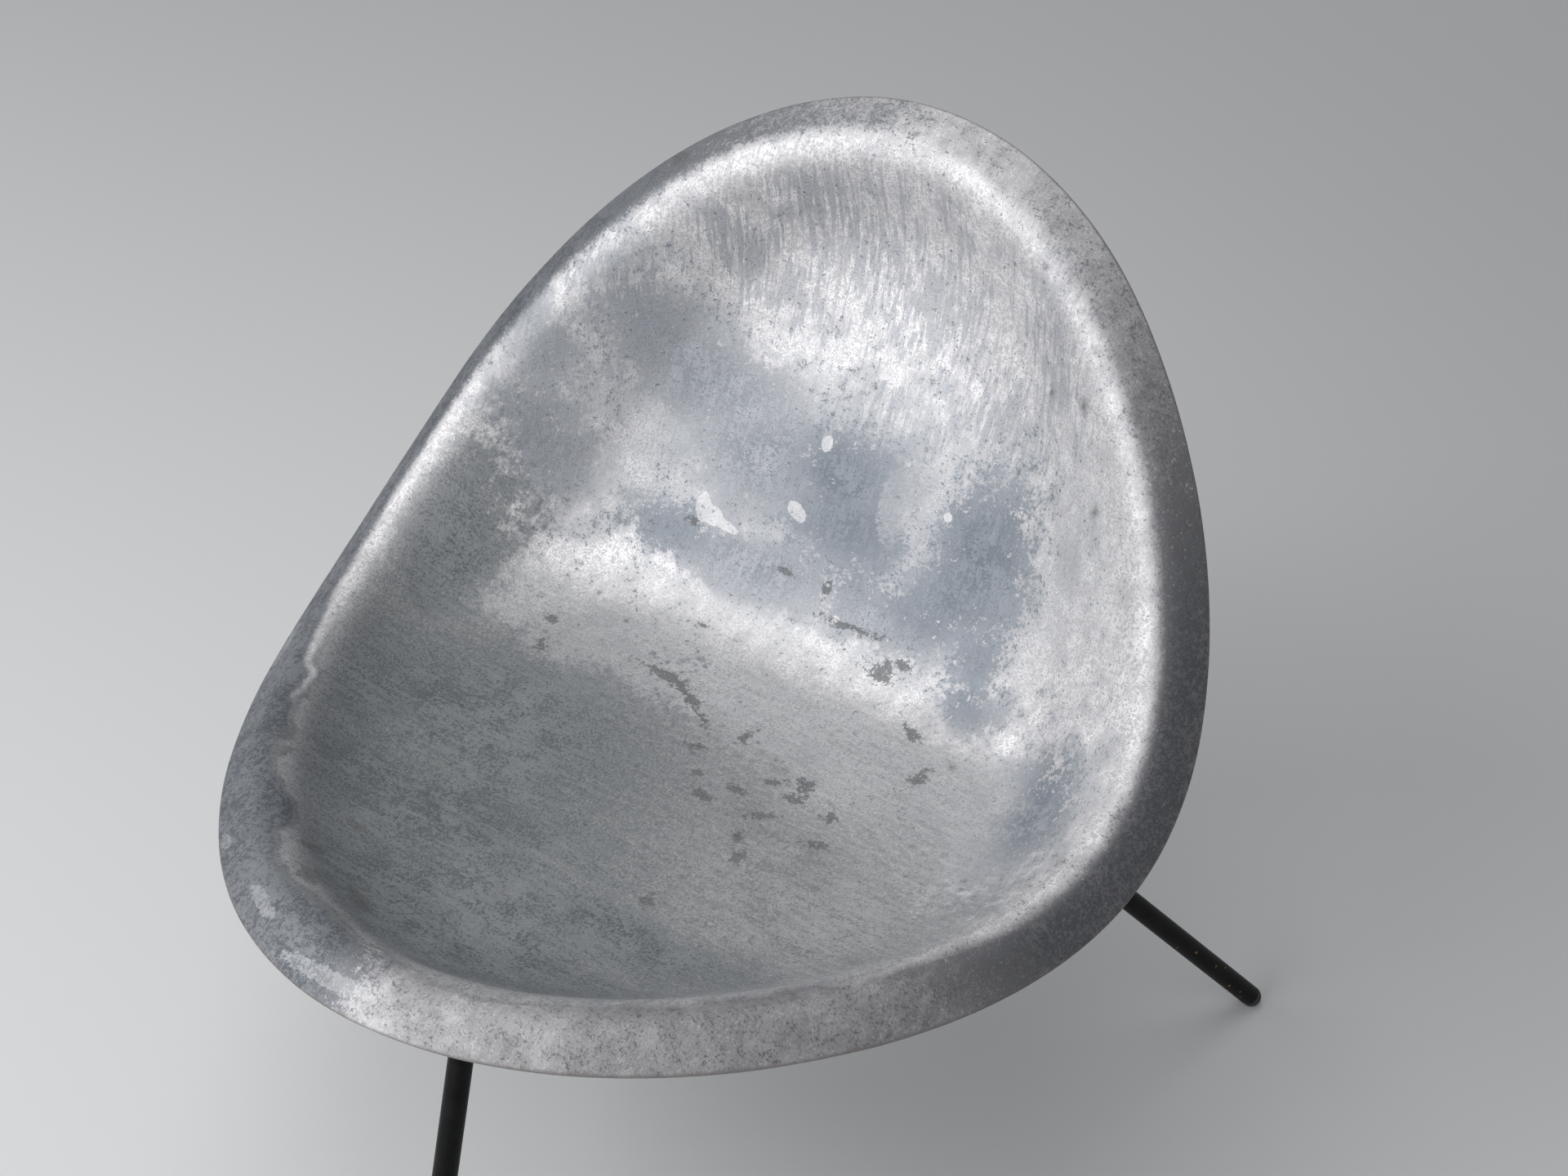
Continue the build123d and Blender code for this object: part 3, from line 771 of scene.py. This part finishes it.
# %% Black paint
paint, paint_shader, place = new_finish("satin_black_paint")
peel = speckle(paint, place, 420, 3.0, 0.5)
dust = speckle(paint, place, 60, 6.0, 0.65)
chip_noise = speckle(paint, place, 230, 2.0, 0.5)
height = lay(paint, "SeparateXYZ", {"Vector": place}).outputs["Z"]
chips = edge(paint, add_up(paint, [(chip_noise, 1.0), (height, -3.5)], 0.0), 0.72, 0.8)
black = tint(paint, edge(paint, dust, -0.7, 1.0), (0.0025, 0.0027, 0.003, 1), (0.008, 0.0083, 0.009, 1))
paint_shader.inputs["Specular IOR Level"].default_value = 0.1
paint_links = paint.node_tree.links
paint_links.new(tint(paint, chips, black, (0.34, 0.2, 0.07, 1)), paint_shader.inputs["Base Color"])
paint_links.new(add_up(paint, [(dust, 0.05), (chips, 0.2)], 0.42), paint_shader.inputs["Roughness"])
peel_bump = lay(paint, "Bump", {"Strength": 0.12, "Distance": 0.0003, "Height": peel})
paint_links.new(peel_bump.outputs["Normal"], paint_shader.inputs["Normal"])
print("black paint:", len(paint.node_tree.nodes), "nodes")

# %% [markdown]
# ## Hardware: pads, glides, washers and screws
# The small pieces differ in colour, in metal and in how rough they are. One function makes a speckled
# finish from those values, with fine noise in the colour, the roughness and the relief.

# %% Hardware finishes
def hardware_finish(name, dark, light, metallic, smooth, coarse, scale):
    """A speckled finish between two greys and two roughnesses, with a number of specks to the metre."""
    finish, shader, place = new_finish(name)
    specks = speckle(finish, place, scale, 5.0, 0.6)
    scuffs = speckle(finish, place, scale / 6, 6.0, 0.65)
    shade = edge(finish, add_up(finish, [(specks, 0.5), (scuffs, 0.7)], 0.0), -0.8, 0.8)
    links = finish.node_tree.links
    links.new(tint(finish, shade, (*dark, 1), (*light, 1)), shader.inputs["Base Color"])
    roughness = add_up(finish, [(scuffs, (coarse - smooth) / 2)], (smooth + coarse) / 2)
    links.new(roughness, shader.inputs["Roughness"])
    shader.inputs["Metallic"].default_value = metallic
    relief = lay(finish, "Bump", {"Strength": 0.15, "Distance": 0.0002, "Height": specks})
    links.new(relief.outputs["Normal"], shader.inputs["Normal"])
    return finish


rubber = hardware_finish("pad_rubber", (0.018, 0.018, 0.018), (0.04, 0.04, 0.039), 0.0, 0.65, 0.95, 900)
nylon = hardware_finish("glide_nylon", (0.010, 0.010, 0.011), (0.032, 0.032, 0.034), 0.0, 0.4, 0.7, 700)
zinc = hardware_finish("zinc_washer", (0.42, 0.43, 0.45), (0.62, 0.63, 0.64), 1.0, 0.25, 0.5, 800)
oxide = hardware_finish("black_oxide_screw", (0.035, 0.035, 0.038), (0.10, 0.10, 0.105), 0.9, 0.3, 0.55, 900)
FINISHES = {"leg": paint, "flange": paint, "pad": rubber, "glide": nylon, "washers": zinc, "screws": oxide}
for name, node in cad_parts.items():
    kind = name.split("_")[0]
    if kind in FINISHES:
        node.data.materials.clear()
        node.data.materials.append(FINISHES[kind])
print("finished pieces:", sum(name.split("_")[0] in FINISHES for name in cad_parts))

# %% [markdown]
# ## The studio: floor
# The chair stands on plain pale grey. The floor is wide enough to fill the picture from any side. Far from
# the chair, where the lamps no longer reach, it glows a little for the rays that the camera sees, straight or
# in a reflection. That keeps the background pale and puts no light on the chair's matt side.

# %% Floor
def seen_rays(finish):
    """1 for rays that show a background: straight from the camera, in a reflection or through glass."""
    rays = lay(finish, "LightPath", {}).outputs
    others = [(rays["Is Glossy Ray"], 1.0), (rays["Is Transmission Ray"], 1.0)]
    return add_up(finish, others, rays["Is Camera Ray"])


FLOOR_REACH, FLOOR_GREY = 9.0, (0.70, 0.705, 0.715, 1)
GLOW_FROM, GLOW_TO, GLOW = 1.0, 6.0, 0.45
corners = [(-FLOOR_REACH, -FLOOR_REACH, 0), (FLOOR_REACH, -FLOOR_REACH, 0)]
corners += [(FLOOR_REACH, FLOOR_REACH, 0), (-FLOOR_REACH, FLOOR_REACH, 0)]
floor_mesh = bpy.data.meshes.new("floor")
floor_mesh.from_pydata(corners, [], [(0, 1, 2, 3)])
floor = bpy.data.objects.new("floor", floor_mesh)
scene.collection.objects.link(floor)
floor_paper, floor_shader, place = new_finish("pale_floor")
floor_shader.inputs["Base Color"].default_value = FLOOR_GREY
floor_shader.inputs["Roughness"].default_value = 0.8
floor_shader.inputs["Emission Color"].default_value = FLOOR_GREY
away = lay(floor_paper, "VectorMath", {0: place}, operation="LENGTH").outputs["Value"]
far_glow = edge(floor_paper, away, GLOW_FROM, GLOW_TO)
glow = lay(floor_paper, "Math", {0: far_glow, 1: seen_rays(floor_paper)}, operation="MULTIPLY").outputs[0]
glow = lay(floor_paper, "Math", {0: glow, 1: GLOW}, operation="MULTIPLY").outputs[0]
floor_paper.node_tree.links.new(glow, floor_shader.inputs["Emission Strength"])
floor_mesh.materials.append(floor_paper)
print("floor", 2 * FLOOR_REACH, "m wide")

# %% [markdown]
# ## The studio: lamps
# A large soft lamp in front lights the back of the chair. Four smaller ones hang above and draw the bright
# line along the bend, and one stands on the left for that side of the rim. Little comes from behind, so the
# seat, which mirrors that side of the room, stays dark. Lamps are hidden from the camera, because they would
# stand in other views.

# %% Lamps
def softbox(name, place, size, watts):
    """A square lamp that looks at the middle of the chair."""
    lamp = bpy.data.lights.new(name, "AREA")
    lamp.size = size
    lamp.energy = watts
    box = bpy.data.objects.new(name, lamp)
    box.location = place
    box.rotation_euler = (Vector((0, 0.05, 0.35)) - Vector(place)).to_track_quat("-Z", "Y").to_euler()
    box.visible_camera = False
    scene.collection.objects.link(box)


softbox("front_lamp", (-0.6, -2.9, 1.15), 2.4, 45)
softbox("upper_left_lamp", (-1.3, -1.4, 2.2), 1.1, 20)
softbox("upper_right_lamp", (0.7, -1.2, 2.5), 1.0, 9)
softbox("upper_front_lamp", (-0.4, -1.6, 2.5), 1.0, 9)
softbox("upper_lamp", (-0.3, 0.3, 2.8), 1.2, 12)
softbox("left_lamp", (-2.6, -0.5, 1.3), 1.8, 10)

# %% [markdown]
# ## The studio: the room
# The room gives a dim grey light from all sides. Rays that show a background meet a plain pale wall instead.

# %% Room
world = bpy.data.worlds.new("studio")
scene.world = world
world.use_nodes = True
dim = world.node_tree.nodes["Background"]
dim.inputs["Color"].default_value = (0.5, 0.51, 0.52, 1)
dim.inputs["Strength"].default_value = 0.34
pale_wall = lay(world, "Background", {"Color": (0.40, 0.405, 0.415, 1)}).outputs[0]
room = lay(world, "MixShader", {0: seen_rays(world), 1: dim.outputs[0], 2: pale_wall}).outputs[0]
world.node_tree.links.new(room, world.node_tree.nodes["World Output"].inputs["Surface"])
print("room light:", round(dim.inputs["Strength"].default_value, 2))
